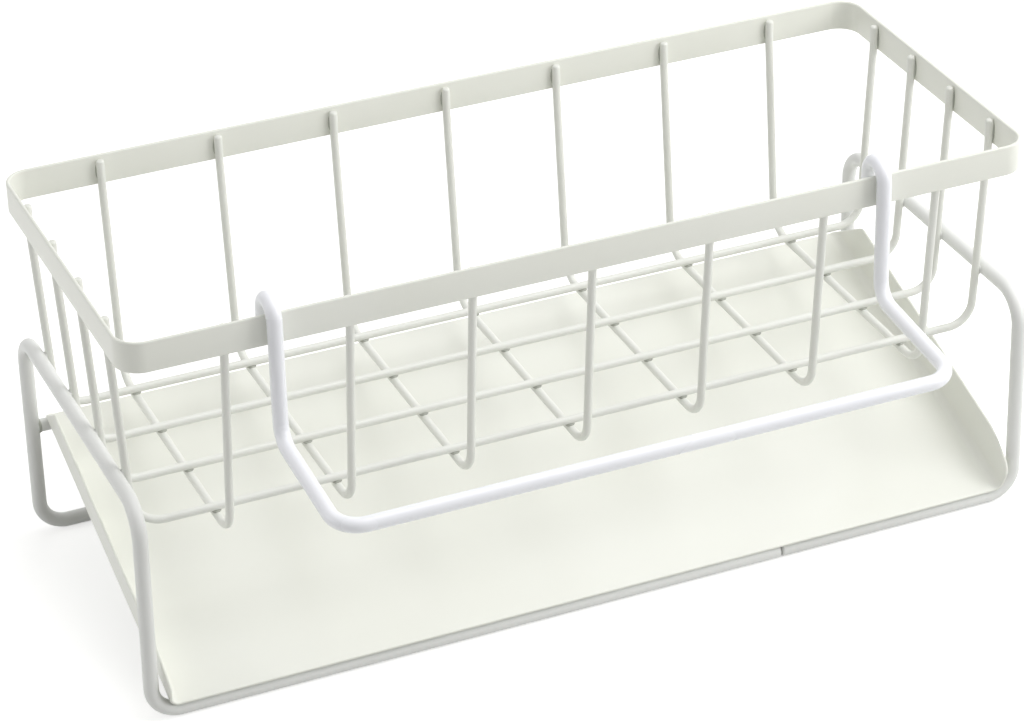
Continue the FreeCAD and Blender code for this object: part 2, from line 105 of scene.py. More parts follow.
def grid_quads(rows: int, columns: int, close_rows: bool, close_columns: bool) -> np.ndarray:
    """Number the quads of a grid of points that is stored row after row.

    Each quad takes a point, the next one in its row, and the same two of the next row.

    Args:
        rows: Count of rows.
        columns: Points in a row.
        close_rows: Whether the last row is joined to the first.
        close_columns: Whether each row is joined to itself.

    Returns:
        Point numbers, four to a quad.
    """
    row = np.arange(rows if close_rows else rows - 1)[:, None]
    column = np.arange(columns if close_columns else columns - 1)[None, :]
    next_row, next_column = (row + 1) % rows, (column + 1) % columns
    corners = [row * columns + column, row * columns + next_column,
               next_row * columns + next_column, next_row * columns + column]
    return np.stack(np.broadcast_arrays(*corners), axis=-1).reshape(-1, 4)


def cap_fans(rows: int, columns: int) -> np.ndarray:
    """Number the triangles that close a tube's two ends with a pole each.

    The poles are the two points after the grid's own: first end, then last end.

    Args:
        rows: Rings of the tube.
        columns: Points in a ring.

    Returns:
        Point numbers, three to a triangle.
    """
    here = np.arange(columns)
    ahead = (here + 1) % columns
    poles = np.full(columns, rows * columns)
    last = (rows - 1) * columns
    return np.concatenate([np.stack([poles, ahead, here], axis=-1),
                           np.stack([poles + 1, last + here, last + ahead], axis=-1)])


def unit(vector: np.ndarray) -> np.ndarray:
    """Scale a vector to length 1."""
    return vector / np.linalg.norm(vector)


def turned(vector: np.ndarray, axis: np.ndarray, angles: np.ndarray) -> np.ndarray:
    """Turn one vector about an axis by many angles.

    Rodrigues: v cos a + (k x v) sin a + k (k . v)(1 - cos a).

    Args:
        vector: What is turned.
        axis: Unit axis.
        angles: Angles in radians.

    Returns:
        One turned vector per angle.
    """
    cosine, sine = np.cos(angles)[:, None], np.sin(angles)[:, None]
    return vector * cosine + np.cross(axis, vector) * sine + axis * (axis @ vector) * (1 - cosine)


@dataclass
class RodPath:
    """Stations on a rod's middle line, with its heading and one direction across it at each."""

    spots: np.ndarray
    headings: np.ndarray
    sides: np.ndarray

    @classmethod
    def bent(cls, corners: np.ndarray, radii: list[float], arc_steps: int = 14) -> "RodPath":
        """Follow straight runs that are joined by tangent arcs.

        At a corner the arc starts radius * tan(turn / 2) before it, and its stations are its centre
        plus the first spoke turned about the bend's axis. The direction across the rod is turned by
        the same angles, so the rod isn't twisted.

        Args:
            corners: Ends and corners of the runs.
            radii: Bend radius at each inner corner.
            arc_steps: Stations along each arc, less one.

        Returns:
            The path, without doubled stations.
        """
        heading = unit(corners[1] - corners[0])
        side = unit(np.cross(heading, np.eye(3)[np.argmin(np.abs(heading))]))
        spots, headings, sides = [corners[:1]], [heading[None]], [side[None]]
        for corner, after, radius in zip(corners[1:-1], corners[2:], radii):
            ahead = unit(after - corner)
            axis = np.cross(heading, ahead)
            angle = math.atan2(np.linalg.norm(axis), heading @ ahead)
            axis = unit(axis)
            inward = np.cross(axis, heading)
            centre = corner - heading * radius * math.tan(angle / 2) + inward * radius
            angles = np.linspace(0.0, angle, arc_steps + 1)
            spots.append(centre + turned(-inward * radius, axis, angles))
            headings.append(turned(heading, axis, angles))
            sides.append(turned(side, axis, angles))
            heading, side = ahead, sides[-1][-1]
        path = [np.concatenate([*part, end]) for part, end in
                ((spots, corners[-1:]), (headings, heading[None]), (sides, side[None]))]
        gaps = np.linalg.norm(np.diff(path[0], axis=0), axis=1)
        keep = np.concatenate([[True], gaps > SAME_SPOT_MM])
        return cls(*(part[keep] for part in path))

    def rod(self, radius: float, end_round: float, ring: int = 24, round_steps: int = 4) -> Surface:
        """Skin a round rod whose cut ends are rounded over.

        A point is its station + r (cos t side + sin t lift). At an end, for a from 0 to 90 degrees,
        the station lies end_round (1 - cos a) in from the cut and r is radius - end_round +
        end_round sin a, a quarter round. A pole closes the flat that is left.

        Args:
            radius: Rod radius.
            end_round: Radius of the quarter round.
            ring: Points round the rod.
            round_steps: Steps of the quarter round.

        Returns:
            The closed skin.
        """
        sweep = np.linspace(0.0, math.pi / 2, round_steps + 1)
        inset, end_radius = end_round * (1 - np.cos(sweep)), radius - end_round * (1 - np.sin(sweep))
        worn = 1 - sweep / sweep[-1]
        inner = len(self.spots) - 2
        spots = np.concatenate([self.spots[0] + inset[:, None] * self.headings[0], self.spots[1:-1],
                                self.spots[-1] - inset[::-1, None] * self.headings[-1]])
        opening = [np.repeat(part[:1], round_steps, axis=0) for part in (self.headings, self.sides)]
        closing = [np.repeat(part[-1:], round_steps, axis=0) for part in (self.headings, self.sides)]
        headings = np.concatenate([opening[0], self.headings, closing[0]])
        sides = np.concatenate([opening[1], self.sides, closing[1]])
        lifts = np.cross(headings, sides)
        radii = np.concatenate([end_radius, np.full(inner, radius), end_radius[::-1]])
        edge = np.concatenate([worn, np.zeros(inner), worn[::-1]])
        angle = np.linspace(0.0, 2 * math.pi, ring, endpoint=False)[None, :, None]
        spokes = np.cos(angle) * sides[:, None] + np.sin(angle) * lifts[:, None]
        skin = spots[:, None] + radii[:, None, None] * spokes
        rows = len(spots)
        return Surface(
            np.concatenate([skin.reshape(-1, 3), spots[:1], spots[-1:]]),
            grid_quads(rows, ring, False, True),
            cap_fans(rows, ring),
            np.concatenate([np.repeat(edge, ring), [1.0, 1.0]]),
        )


def rounded_loop(half_u: float, half_v: float, radius: float, steps: int) -> tuple[np.ndarray, np.ndarray]:
    """Go round a rounded rectangle, anticlockwise from its +u side.

    Each corner is centre + radius (cos t, sin t) with the centre radius in from both sides, and the
    straight sides run from one corner to the next.

    Args:
        half_u: Half the size along u.
        half_v: Half the size along v.
        radius: Corner radius.
        steps: Steps of each quarter circle.

    Returns:
        The points and the outward direction at each.
    """
    sweep = np.arange(4)[:, None] * math.pi / 2 + np.linspace(0.0, math.pi / 2, steps + 1)
    outward = np.stack([np.cos(sweep), np.sin(sweep)], axis=-1)
    signs = np.array([[1, 1], [-1, 1], [-1, -1], [1, -1]])
    centres = signs * np.array([half_u - radius, half_v - radius])
    return (centres[:, None] + radius * outward).reshape(-1, 2), outward.reshape(-1, 2)


def beads(places: np.ndarray, radii: np.ndarray, rows: int = 7, columns: int = 12) -> Surface:
    """Skin a small rounded bead at each place.

    A bead is an ellipsoid: place + radii * (cos p cos t, cos p sin t, sin p), p from pole to pole.

    Args:
        places: Bead middles.
        radii: The three half sizes of each bead.
        rows: Rings of a bead.
        columns: Points in a ring.

    Returns:
        All beads as one skin.
    """
    p = np.linspace(-math.pi / 2, math.pi / 2, rows + 2)[1:-1, None]
    t = np.linspace(0.0, 2 * math.pi, columns, endpoint=False)[None, :]
    ball = np.stack(np.broadcast_arrays(np.cos(p) * np.cos(t), np.cos(p) * np.sin(t), np.sin(p)), axis=-1)
    ball = np.concatenate([ball.reshape(-1, 3), -UP[None], UP[None]])
    points = places[:, None] + radii[:, None] * ball
    firsts = (np.arange(len(places)) * len(ball))[:, None, None]
    return Surface(
        points.reshape(-1, 3),
        (grid_quads(rows, columns, False, True) + firsts).reshape(-1, 4),
        (cap_fans(rows, columns) + firsts).reshape(-1, 3),
        np.ones(points.shape[0] * points.shape[1]),
    )


# Finishes


def linear(colour: str) -> tuple[float, float, float, float]:
    """Turn an sRGB hex colour into linear light.

    Args:
        colour: Six hex digits after a #.

    Returns:
        Linear red, green and blue with full alpha.
    """
    parts = [int(colour[place:place + 2], 16) / 255 for place in (1, 3, 5)]
    light = [part / 12.92 if part <= 0.04045 else ((part + 0.055) / 1.055) ** 2.4 for part in parts]
    return (*light, 1.0)


def add_node(tree: bpy.types.NodeTree, kind: str, inputs: dict[str | int, object] | None = None,
             **settings: object) -> bpy.types.Node:
    """Add a node with its settings, and set or link its inputs.

    Args:
        tree: Where it goes.
        kind: Blender's name for the kind of node.
        inputs: Input name or number to a value, or to the output socket that is linked to it.
        settings: Properties of the node.

    Returns:
        The node.
    """
    node = tree.nodes.new(kind)
    for name, value in settings.items():
        setattr(node, name, value)
    for name, value in (inputs or {}).items():
        if isinstance(value, bpy.types.NodeSocket):
            tree.links.new(value, node.inputs[name])
        else:
            node.inputs[name].default_value = value
    return node


@dataclass(frozen=True)
class PowderCoat:
    """Baked powder coat on steel, with real sizes in mm.

    The powder melts into a smooth skin with faint orange-peel waves. It draws back from cut edges,
    where the grey of the steel dulls it, and its thickness drifts a little over the piece.
    """

    name: str
    colour: str
    deep_colour: str
    edge_colour: str
    roughness: float = 0.36
    roughness_drift: float = 0.04
    refraction: float = 1.5
    peel_size: float = 1.8
    peel_depth: float = 0.006
    grit_size: float = 0.5
    grit_depth: float = 0.0012
    drift_size: float = 45.0
    # the broad noise's values up to which the deep colour shows, and from which the full one does
    deep_below: float = 0.35
    full_above: float = 0.65
    edge_strength: float = 0.6

    def material(self) -> bpy.types.Material:
        """Build the node material.

        One broad noise drifts between the two colours and between two roughnesses, two fine ones
        make the waves and the grit as bumps, and the edge attribute mixes in the edge colour.

        Returns:
            The material.
        """
        made = bpy.data.materials.new(self.name)
        made.use_nodes = True
        tree = made.node_tree
        tree.nodes.clear()
        place = add_node(tree, "ShaderNodeTexCoord").outputs["Object"]
        drift = add_node(tree, "ShaderNodeTexNoise", {
            "Vector": place, "Scale": 1 / (self.drift_size * METRES), "Detail": 2.0, "Roughness": 0.5})
        peel = add_node(tree, "ShaderNodeTexNoise", {
            "Vector": place, "Scale": 1 / (self.peel_size * METRES), "Detail": 1.0, "Roughness": 0.4})
        grit = add_node(tree, "ShaderNodeTexNoise", {
            "Vector": place, "Scale": 1 / (self.grit_size * METRES), "Detail": 2.0, "Roughness": 0.6})
        tone = add_node(tree, "ShaderNodeValToRGB", {"Fac": drift.outputs["Fac"]})
        stops = ((self.deep_below, self.deep_colour), (self.full_above, self.colour))
        for stop, (where, colour) in zip(tone.color_ramp.elements, stops):
            stop.position, stop.color = where, linear(colour)
        rubbed = add_node(tree, "ShaderNodeAttribute", attribute_name=EDGE_ATTRIBUTE)
        thin = add_node(tree, "ShaderNodeMath", {
            0: rubbed.outputs["Fac"], 1: self.edge_strength}, operation="MULTIPLY")
        colour = add_node(tree, "ShaderNodeMix", {
            0: thin.outputs[0], 6: tone.outputs["Color"], 7: linear(self.edge_colour)}, data_type="RGBA")
        gloss = add_node(tree, "ShaderNodeMapRange", {
            "Value": drift.outputs["Fac"], "From Min": 0.3, "From Max": 0.7,
            "To Min": self.roughness - self.roughness_drift,
            "To Max": self.roughness + self.roughness_drift})
        waves = add_node(tree, "ShaderNodeBump", {
            "Strength": 1.0, "Distance": self.peel_depth * METRES, "Height": peel.outputs["Fac"]})
        grain = add_node(tree, "ShaderNodeBump", {
            "Strength": 1.0, "Distance": self.grit_depth * METRES, "Height": grit.outputs["Fac"],
            "Normal": waves.outputs["Normal"]})
        shader = add_node(tree, "ShaderNodeBsdfPrincipled", {
            "Base Color": colour.outputs[2], "Roughness": gloss.outputs["Result"],
            "Metallic": 0.0, "IOR": self.refraction, "Normal": grain.outputs["Normal"]})
        add_node(tree, "ShaderNodeOutputMaterial", {"Surface": shader.outputs["BSDF"]})
        return made


class Finish(Enum):
    """Finishes of the holder."""

    # Ivory polyester powder on strip and sheet: satin, warm, even to the eye, with a soft sheen
    # towards the lamps. The grit is about 0.1 mm and is drawn at 0.5 mm to show.
    IVORY_SHEET = PowderCoat("powder_coated_sheet_steel_satin_ivory", "#eeefe7", "#ebece3", "#e1e2d9")
    # The same powder on drawn wire: it lies thinner on the round, so the steel greys it a little,
    # and a soft broad highlight runs along each wire.
    IVORY_WIRE = PowderCoat("powder_coated_drawn_wire_satin_ivory", "#e8e9e3", "#e5e6df", "#dcddd6")
    # The same powder on the thick rod, which is bent before it is coated: the coat is still thinner
    # there and looks nearly neutral beside the sheet.
    IVORY_ROD = PowderCoat("powder_coated_bent_rod_satin_ivory", "#e7e8e5", "#e4e5e2", "#dbdcd9")
    # White epoxy powder on the towel bar: thicker and glossier, a cold white beside the ivory.
    WHITE = PowderCoat("powder_coated_steel_gloss_white", "#f5f6fa", "#f2f3f8", "#e6e8ec",
                       roughness=0.24, peel_size=2.4, peel_depth=0.008, grit_depth=0.0006,
                       edge_strength=0.5)
    # Spot welds under the ivory powder, which hardly reaches into the corners between two wires, so the joint
    # is greyer and rougher than the wires. The dark colour is also painted shade: it stands in for the shade
    # that falls in the creases between crossing wires, between wire ends and the strip, and between the rest
    # rod and the leg.
    WELD_AND_PAINTED_CREVICE_SHADE = PowderCoat("spot_weld_with_painted_crevice_shade", "#bec0b8", "#aeb0a7", "#a2a49a",
                      roughness=0.55, peel_size=0.7, peel_depth=0.02, grit_size=0.4,
                      grit_depth=0.004, drift_size=6.0, edge_strength=0.4)


# Sub-assemblies


class SubAssembly:
    """Turns skins into dressed pieces that ride on a CAD body."""

    body: Body = Body.RACK
    slot: Slot = Slot.CREAM

    def piece(self, name: str, skin: Surface, coat: bpy.types.Material, *nodes: str) -> None:
        """Make one piece, dress it and tie it to the frame.

        Args:
            name: Name of the piece.
            skin: Its surface.
            coat: Its material.
            nodes: CAD nodes that it stands for.
        """
        made = skin.to_object(name)
        made.data.materials.append(coat)
        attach(made, self.body.value)
        if nodes:
            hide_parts(*nodes)
        log.info("%s: %d faces, rides on %s", name, len(made.data.polygons), self.body.value)


Coats = dict[Finish, bpy.types.Material]


@dataclass
class RimStrip(SubAssembly):
    """Flat strip bent into a rounded rectangle and set on edge."""

    length: float = 250.0
    width: float = 100.0
    corner_radius: float = 7.0
    height: float = 8.5
    thickness: float = 1.0
    edge_round: float = 0.42
    top: float = 108.7
    middle_y: float = 22.0
    corner_steps: int = 18
    edge_steps: int = 5

    def skin(self) -> Surface:
        """Carry the strip's section round the rim.

        A point is the outline's point + u outward + v up, where (u, v) goes round the section, a
        rounded rectangle whose outer face is at u = 0.

        Returns:
            The closed band.
        """
        outline, outward = rounded_loop(self.length / 2, self.width / 2, self.corner_radius,
                                        self.corner_steps)
        section, _ = rounded_loop(self.thickness / 2, self.height / 2, self.edge_round, self.edge_steps)
        u, v = section[:, 0] - self.thickness / 2, section[:, 1]
        flat = outline[:, None] + u[None, :, None] * outward[:, None] + np.array([0.0, self.middle_y])
        level = np.broadcast_to(v + self.top - self.height / 2, flat.shape[:2])
        points = np.concatenate([flat, level[..., None]], axis=-1)
        edge = np.clip((np.abs(v) - self.height / 2) / self.edge_round + 1, 0, 1)
        rows, columns = points.shape[:2]
        quads = grid_quads(rows, columns, True, True)[:, ::-1]
        return Surface(points.reshape(-1, 3), quads, np.empty((0, 3), int), np.tile(edge, rows))

    def build(self, coats: Coats) -> None:
        """Make the rim's one piece."""
        self.piece("rim_strip", self.skin(), coats[Finish.IVORY_SHEET], "rim_band")


@dataclass
class WireBasket(SubAssembly):
    """Two layers of U-shaped wires, welded where they cross and inside the rim strip."""

    wire_diameter: float = 2.2
    end_round: float = 0.7
    middle_y: float = 22.0
    wire_top: float = 107.7
    band_bottom: float = 100.2
    weld_bend: float = 8.0
    cross_count: int = 7
    cross_pitch: float = 32.75
    cross_top_half: float = 47.9
    cross_floor_half: float = 42.9
    cross_floor_z: float = 44.2
    cross_corner: float = 8.0
    long_count: int = 4
    long_pitch: float = 21.4
    long_top_half: float = 122.9
    long_floor_half: float = 120.0
    long_floor_z: float = 46.4
    long_left_corner: float = 9.0
    long_right_corner: float = 7.0
    crossing_bead: tuple[float, float, float] = (1.4, 1.4, 0.55)
    band_bead: tuple[float, float, float] = (1.25, 0.55, 3.0)

    def places(self, count: int, pitch: float) -> np.ndarray:
        """Spread wires evenly about 0."""
        return (np.arange(count) - (count - 1) / 2) * pitch

    def u_corners(self, top_half: float, floor_half: float, floor_z: float) -> np.ndarray:
        """List a U wire's ends and corners across the basket.

        Args:
            top_half: Half the width at the rim.
            floor_half: Half the width at the floor's corners.
            floor_z: Height of the floor stretch.

        Returns:
            Six points, distance across and height.
        """
        half = np.array([[-top_half, self.wire_top], [-top_half, self.band_bottom], [-floor_half, floor_z]])
        return np.concatenate([half, half[::-1] * np.array([-1.0, 1.0])])

    def cross_wire(self, x: float) -> Surface:
        """Skin a cross wire, whose U lies in the plane of y and z.

        Args:
            x: Where it stands.

        Returns:
            The closed skin.
        """
        across = self.u_corners(self.cross_top_half, self.cross_floor_half, self.cross_floor_z)
        corners = np.column_stack([np.full(len(across), x), across[:, 0] + self.middle_y, across[:, 1]])
        radii = [self.weld_bend, self.cross_corner, self.cross_corner, self.weld_bend]
        return RodPath.bent(corners, radii).rod(self.wire_diameter / 2, self.end_round)

    def long_wire(self, y: float) -> Surface:
        """Skin a long wire, whose U lies in the plane of x and z.

        Args:
            y: Where it stands.

        Returns:
            The closed skin.
        """
        across = self.u_corners(self.long_top_half, self.long_floor_half, self.long_floor_z)
        corners = np.column_stack([across[:, 0], np.full(len(across), y), across[:, 1]])
        radii = [self.weld_bend, self.long_left_corner, self.long_right_corner, self.weld_bend]
        return RodPath.bent(corners, radii).rod(self.wire_diameter / 2, self.end_round)

    def crossing_welds(self, cross_x: np.ndarray, long_y: np.ndarray) -> Surface:
        """Put a flat bead between the two wires at every crossing of the floor.

        Args:
            cross_x: Where the cross wires stand.
            long_y: Where the long wires stand.

        Returns:
            All beads as one skin.
        """
        x, y = (part.ravel() for part in np.meshgrid(cross_x, long_y))
        places = np.column_stack([x, y, np.full(len(x), self.cross_floor_z + self.wire_diameter / 2)])
        return beads(places, np.tile(self.crossing_bead, (len(places), 1)))

    def band_welds(self, cross_x: np.ndarray, long_y: np.ndarray) -> Surface:
        """Put a long bead between the strip and every wire end.

        Args:
            cross_x: Where the cross wires stand.
            long_y: Where the long wires stand.

        Returns:
            All beads as one skin.
        """
        z = (self.wire_top + self.band_bottom) / 2
        contact = self.wire_diameter / 2
        ends = np.array([[-1.0], [1.0]])
        y = np.broadcast_to(ends * (self.cross_top_half + contact) + self.middle_y, (len(ends), len(cross_x)))
        x = np.broadcast_to(ends * (self.long_top_half + contact), (len(ends), len(long_y)))
        front_rear = np.column_stack([np.tile(cross_x, len(ends)), y.ravel(), np.full(y.size, z)])
        left_right = np.column_stack([x.ravel(), np.tile(long_y, len(ends)), np.full(x.size, z)])
        along, through, tall = self.band_bead
        radii = np.concatenate([np.tile((along, through, tall), (len(front_rear), 1)),
                                np.tile((through, along, tall), (len(left_right), 1))])
        return beads(np.concatenate([front_rear, left_right]), radii)

    def build(self, coats: Coats) -> None:
        """Make the wires from left to right and from rear to front, then their welds.

        Args:
            coats: The made finishes.
        """
        cross_x = self.places(self.cross_count, self.cross_pitch)
        long_y = self.middle_y - self.places(self.long_count, self.long_pitch)
        for number, x in enumerate(cross_x, start=1):
            self.piece(f"basket_cross_wire_{number}", self.cross_wire(x), coats[Finish.IVORY_WIRE],
                       f"cross_wire_{number}")
        for number, y in enumerate(long_y, start=1):
            self.piece(f"basket_long_wire_{number}", self.long_wire(y), coats[Finish.IVORY_WIRE],
                       f"long_wire_{number}")
        # The weld beads get the dark weld coat. It paints the shade in the creases at each floor crossing and
        # beside each wire end on the strip, and partly shows the greyer weld.
        self.piece("floor_crossing_welds", self.crossing_welds(cross_x, long_y), coats[Finish.WELD_AND_PAINTED_CREVICE_SHADE])
        self.piece("rim_wire_welds", self.band_welds(cross_x, long_y), coats[Finish.WELD_AND_PAINTED_CREVICE_SHADE])


@dataclass
class RodFrame(SubAssembly):
    """One rod bent into floor rails, legs and side rails, and the rod that the tray rests on."""

    # rods are a hair under the CAD size, so that their finer rounds stay inside the CAD box
    rod_diameter: float = 3.99
    rail_x: float = 123.9670
    rail_z: float = 62.4
    front_foot_x: float = 124.5670
    rear_foot_x: float = 124.0670
    front_y: float = -28.8
    rear_y: float = 68.0
    floor_z: float = 2.0
    rail_bend: float = 9.0
    foot_bend: float = 7.5
    butt_x: float = 53.0
    butt_gap: float = 0.4
    end_round: float = 0.6
    rest_diameter: float = 3.6
    rest_z: float = 33.3824
    rest_half: float = 123.1
    rest_end_round: float = 0.2
    wire_contact_x: float = 121.96
    wire_first_y: float = -10.1
    wire_pitch: float = 21.4
    wire_count: int = 4
    rail_bead: tuple[float, float, float] = (0.55, 1.15, 1.35)
    rest_bead: tuple[float, float, float] = (0.9, 2.0, 2.0)
    rest_bead_x: float = 122.1

    def loop_skin(self) -> Surface:
        """Skin the bent loop, which starts and ends at the butt joint in the front floor rail.

        Its right half is given, and the left half is the same corners mirrored in reverse order.

        Returns:
            The closed skin.
        """
        half = np.array([
            [self.front_foot_x, self.front_y, self.floor_z], [self.rail_x, self.front_y, self.rail_z],
            [self.rail_x, self.rear_y, self.rail_z], [self.rear_foot_x, self.rear_y, self.floor_z]])
        ends = np.array([[self.butt_x + side * self.butt_gap / 2, self.front_y, self.floor_z]
                         for side in (1, -1)])
        corners = np.concatenate([ends[:1], half, half[::-1] * np.array([-1.0, 1.0, 1.0]), ends[1:]])
        radii = [self.foot_bend, self.rail_bend, self.rail_bend, self.foot_bend] * 2
        return RodPath.bent(corners, radii).rod(self.rod_diameter / 2, self.end_round, ring=32)

    def rest_skin(self) -> Surface:
        """Skin the straight rest rod."""
        ends = np.array([[side * self.rest_half, self.rear_y, self.rest_z] for side in (-1.0, 1.0)])
        return RodPath.bent(ends, []).rod(self.rest_diameter / 2, self.rest_end_round, ring=32)

    def rail_welds(self) -> Surface:
        """Put a bead where each long wire's end touches a side rail.

        Returns:
            All beads as one skin.
        """
        y = self.wire_first_y + self.wire_pitch * np.arange(self.wire_count)
        side, place = (part.ravel() for part in np.meshgrid([-1.0, 1.0], y))
        places = np.column_stack([side * self.wire_contact_x, place, np.full(len(side), self.rail_z)])
        return beads(places, np.tile(self.rail_bead, (len(places), 1)))

    def rest_welds(self) -> Surface:
        """Put a collar of weld round each end of the rest rod, against the rear leg."""
        places = np.array([[side * self.rest_bead_x, self.rear_y, self.rest_z] for side in (-1.0, 1.0)])
        return beads(places, np.tile(self.rest_bead, (len(places), 1)), rows=11, columns=24)

    def build(self, coats: Coats) -> None:
        """Make the loop, the rest rod and their welds.

        Args:
            coats: The made finishes.
        """
        self.piece("frame_rod", self.loop_skin(), coats[Finish.IVORY_ROD], "base_frame")
        self.piece("rest_rod", self.rest_skin(), coats[Finish.IVORY_ROD], "tray_rest_rod")
        self.piece("side_rail_welds", self.rail_welds(), coats[Finish.IVORY_ROD])
        # The weld collars get the dark weld coat. It paints the shade in the crease between the rest rod and
        # the rear leg, and partly shows the greyer weld.
        self.piece("rest_rod_welds", self.rest_welds(), coats[Finish.WELD_AND_PAINTED_CREVICE_SHADE])


@dataclass
class DripTray(SubAssembly):
    """Sheet with a leaning flange folded up at each side, lying at a slope."""

    body: Body = Body.TRAY
    thickness: float = 0.8
    half_width: float = 121.5170
    flange_height: float = 12.6
    flange_lean: float = 5.0
    fold_radius: float = 2.5
    front_height: float = 8.5
    front_run: float = 12.0
    front_nose: float = 3.0
    rear_run: float = 11.0
    corner_blend: float = 1.2
    front: float = -1.25
    rear: float = 102.5598
    slope: float = 17.85
    origin_y: float = -29.5050
    origin_z: float = 4.1893
    # the flanges end a hair under the CAD size, so that their round edge stays inside it
    top_trim: float = 0.05
    # stretches along the slope, and the count of rows in each: the ends are divided finely
    nose_length: float = 4.0
    nose_rows: int = 9
    trim_length: float = 16.0
    trim_rows: int = 17
    middle_rows: int = 13
    tail_length: float = 14.0
    tail_rows: int = 21
    floor_steps: int = 8
    side_steps: int = 40
    round_steps: int = 4

    def fold(self) -> tuple[float, float, float, float]:
        """Work out the fold between floor and flange.

        The outer faces of floor and flange meet at a corner, and the outer round starts its radius
        times tan(turn / 2) before it.

        Returns:
            Where it starts, its turn in radians, and its outer and middle radius.
        """
        lean = math.radians(self.flange_lean)
        turn = math.pi / 2 - lean
        outer = self.fold_radius + self.thickness
        corner = self.half_width - self.flange_height * math.tan(lean)
        return corner - outer * math.tan(turn / 2), turn, outer, self.fold_radius + self.thickness / 2

    def flange_top(self, y: np.ndarray) -> np.ndarray:
        """Give the flanges' height along the slope.

        It is the smooth least of the full height and the two slanted trims: min(a, b) less a
        parabola of corner_blend where the two come close. The front end's upper corner is a
        quarter round of front_nose.

        Args:
            y: Distances along the slope.

        Returns:
            Heights above the underside.
        """
        ahead, behind = y - self.front, self.rear - y
        rise = self.flange_height - self.front_height
        drop = self.flange_height - self.thickness
        height = np.full_like(y, self.flange_height)
        for trim in (self.front_height + rise * ahead / self.front_run,
                     self.thickness + drop * behind / self.rear_run):
            close = np.maximum(self.corner_blend - np.abs(height - trim), 0) / self.corner_blend
            height = np.minimum(height, trim) - close ** 2 * self.corner_blend / 4
        into = np.clip(self.front_nose - ahead, 0, self.front_nose)
        height = height - (self.front_nose - np.sqrt(self.front_nose ** 2 - into ** 2))
        return np.maximum(height, self.thickness)

    def section(self, s: np.ndarray) -> tuple[np.ndarray, np.ndarray, np.ndarray, np.ndarray]:
        """Follow the sheet's middle from the tray's middle line out, up the fold and the flange.

        With s measured along it: the floor is level up to the fold, the fold turns on its middle
        radius by 90 degrees less the lean, and the flange goes on straight.

        Args:
            s: Distances along the middle line.

        Returns:
            Across and up places, and the two parts of the direction to the tray's inside.
        """
        start, full, outer, middle = self.fold()
        turn = np.clip((s - start) / middle, 0, full)
        beyond = np.maximum(s - start - middle * full, 0)
        across = np.minimum(s, start) + middle * np.sin(turn) + beyond * math.cos(full)
        up = outer - middle * np.cos(turn) + beyond * math.sin(full)
        return across, up, -np.sin(turn), np.cos(turn)

    def reach(self, height: np.ndarray) -> np.ndarray:
        """Turn flange heights into distances along the section.

        Args:
            height: Heights of the sheet's middle at its top edge.

        Returns:
            The distance at which each height is reached.
        """
        start, full, outer, middle = self.fold()
        turn = np.arccos(np.clip((outer - height) / middle, math.cos(full), 1))
        beyond = np.maximum(height - (outer - middle * math.cos(full)), 0) / math.sin(full)
        return start + middle * turn + beyond

    def rows_along(self) -> np.ndarray:
        """Divide the sheet along the slope, inside its rounded ends.

        Returns:
            Distances along the slope, finer at both ends than in the middle.
        """
        half = self.thickness / 2
        nose_end, trim_end = self.front + self.nose_length, self.front + self.trim_length
        tail_start = self.rear - self.tail_length
        return np.unique(np.concatenate([
            np.linspace(self.front + half, nose_end, self.nose_rows),
            np.linspace(nose_end, trim_end, self.trim_rows),
            np.linspace(trim_end, tail_start, self.middle_rows),
            np.linspace(tail_start, self.rear - half, self.tail_rows)]))

    def skin(self) -> Surface:
        """Skin the sheet on a grid: along the slope, and across the section.

        Both faces are the sheet's middle + or - its normal times half the thickness. Towards every
        border that half falls as a cosine while the place moves out as a sine, so the sheet's edge
        is half round, and the two faces share the border's points.

        Returns:
            The closed sheet.
        """
        half = self.thickness / 2
        sweep = np.linspace(0, math.pi / 2, self.round_steps + 1)
        inner_y = self.rows_along()
        y = np.concatenate([self.front + half - half * np.sin(sweep[:0:-1]), inner_y,
                            self.rear - half + half * np.sin(sweep[1:])])
        row_half = np.concatenate([np.cos(sweep[:0:-1]), np.ones(len(inner_y)), np.cos(sweep[1:])])
        start, top = self.fold()[0], self.reach(self.flange_top(y) - self.top_trim)
        floor = np.broadcast_to(np.linspace(0, start, self.floor_steps + 1), (len(y), self.floor_steps + 1))
        climb = np.linspace(0, 1, self.side_steps + 1)[1:]
        side = start + (top[:, None] - half - start) * climb
        rim = top[:, None] - half + half * np.sin(sweep[1:])
        s = np.concatenate([floor, side, rim], axis=1)
        column_half = np.concatenate([np.ones(floor.shape[1] + side.shape[1]), np.cos(sweep[1:])])
        across, up, inward_x, inward_z = self.section(s)
        x, z, inward_x, inward_z = (
            np.concatenate([sign * part[:, :0:-1], part], axis=1)
            for part, sign in ((across, -1), (up, 1), (inward_x, -1), (inward_z, 1)))
        thick = half * row_half[:, None] * np.concatenate([column_half[:0:-1], column_half])
        along = np.broadcast_to(y[:, None], thick.shape)
        faces = [np.stack([x + way * thick * inward_x, along, z + way * thick * inward_z], axis=-1)
                 for way in (1, -1)]
        rows, columns = thick.shape
        border = np.zeros((rows, columns), bool)
        border[[0, -1]] = border[:, [0, -1]] = True
        inside = ~border.ravel()
        numbers = np.arange(rows * columns)
        under = numbers.copy()
        under[inside] = rows * columns + np.arange(inside.sum())
        quads = grid_quads(rows, columns, False, False)
        points = np.concatenate([faces[0].reshape(-1, 3), faces[1].reshape(-1, 3)[inside]])
        worn = 1 - (thick / half).ravel()
        return Surface(self.on_slope(points), np.concatenate([quads, under[quads][:, ::-1]]),
                       np.empty((0, 3), int), np.concatenate([worn, worn[inside]]))

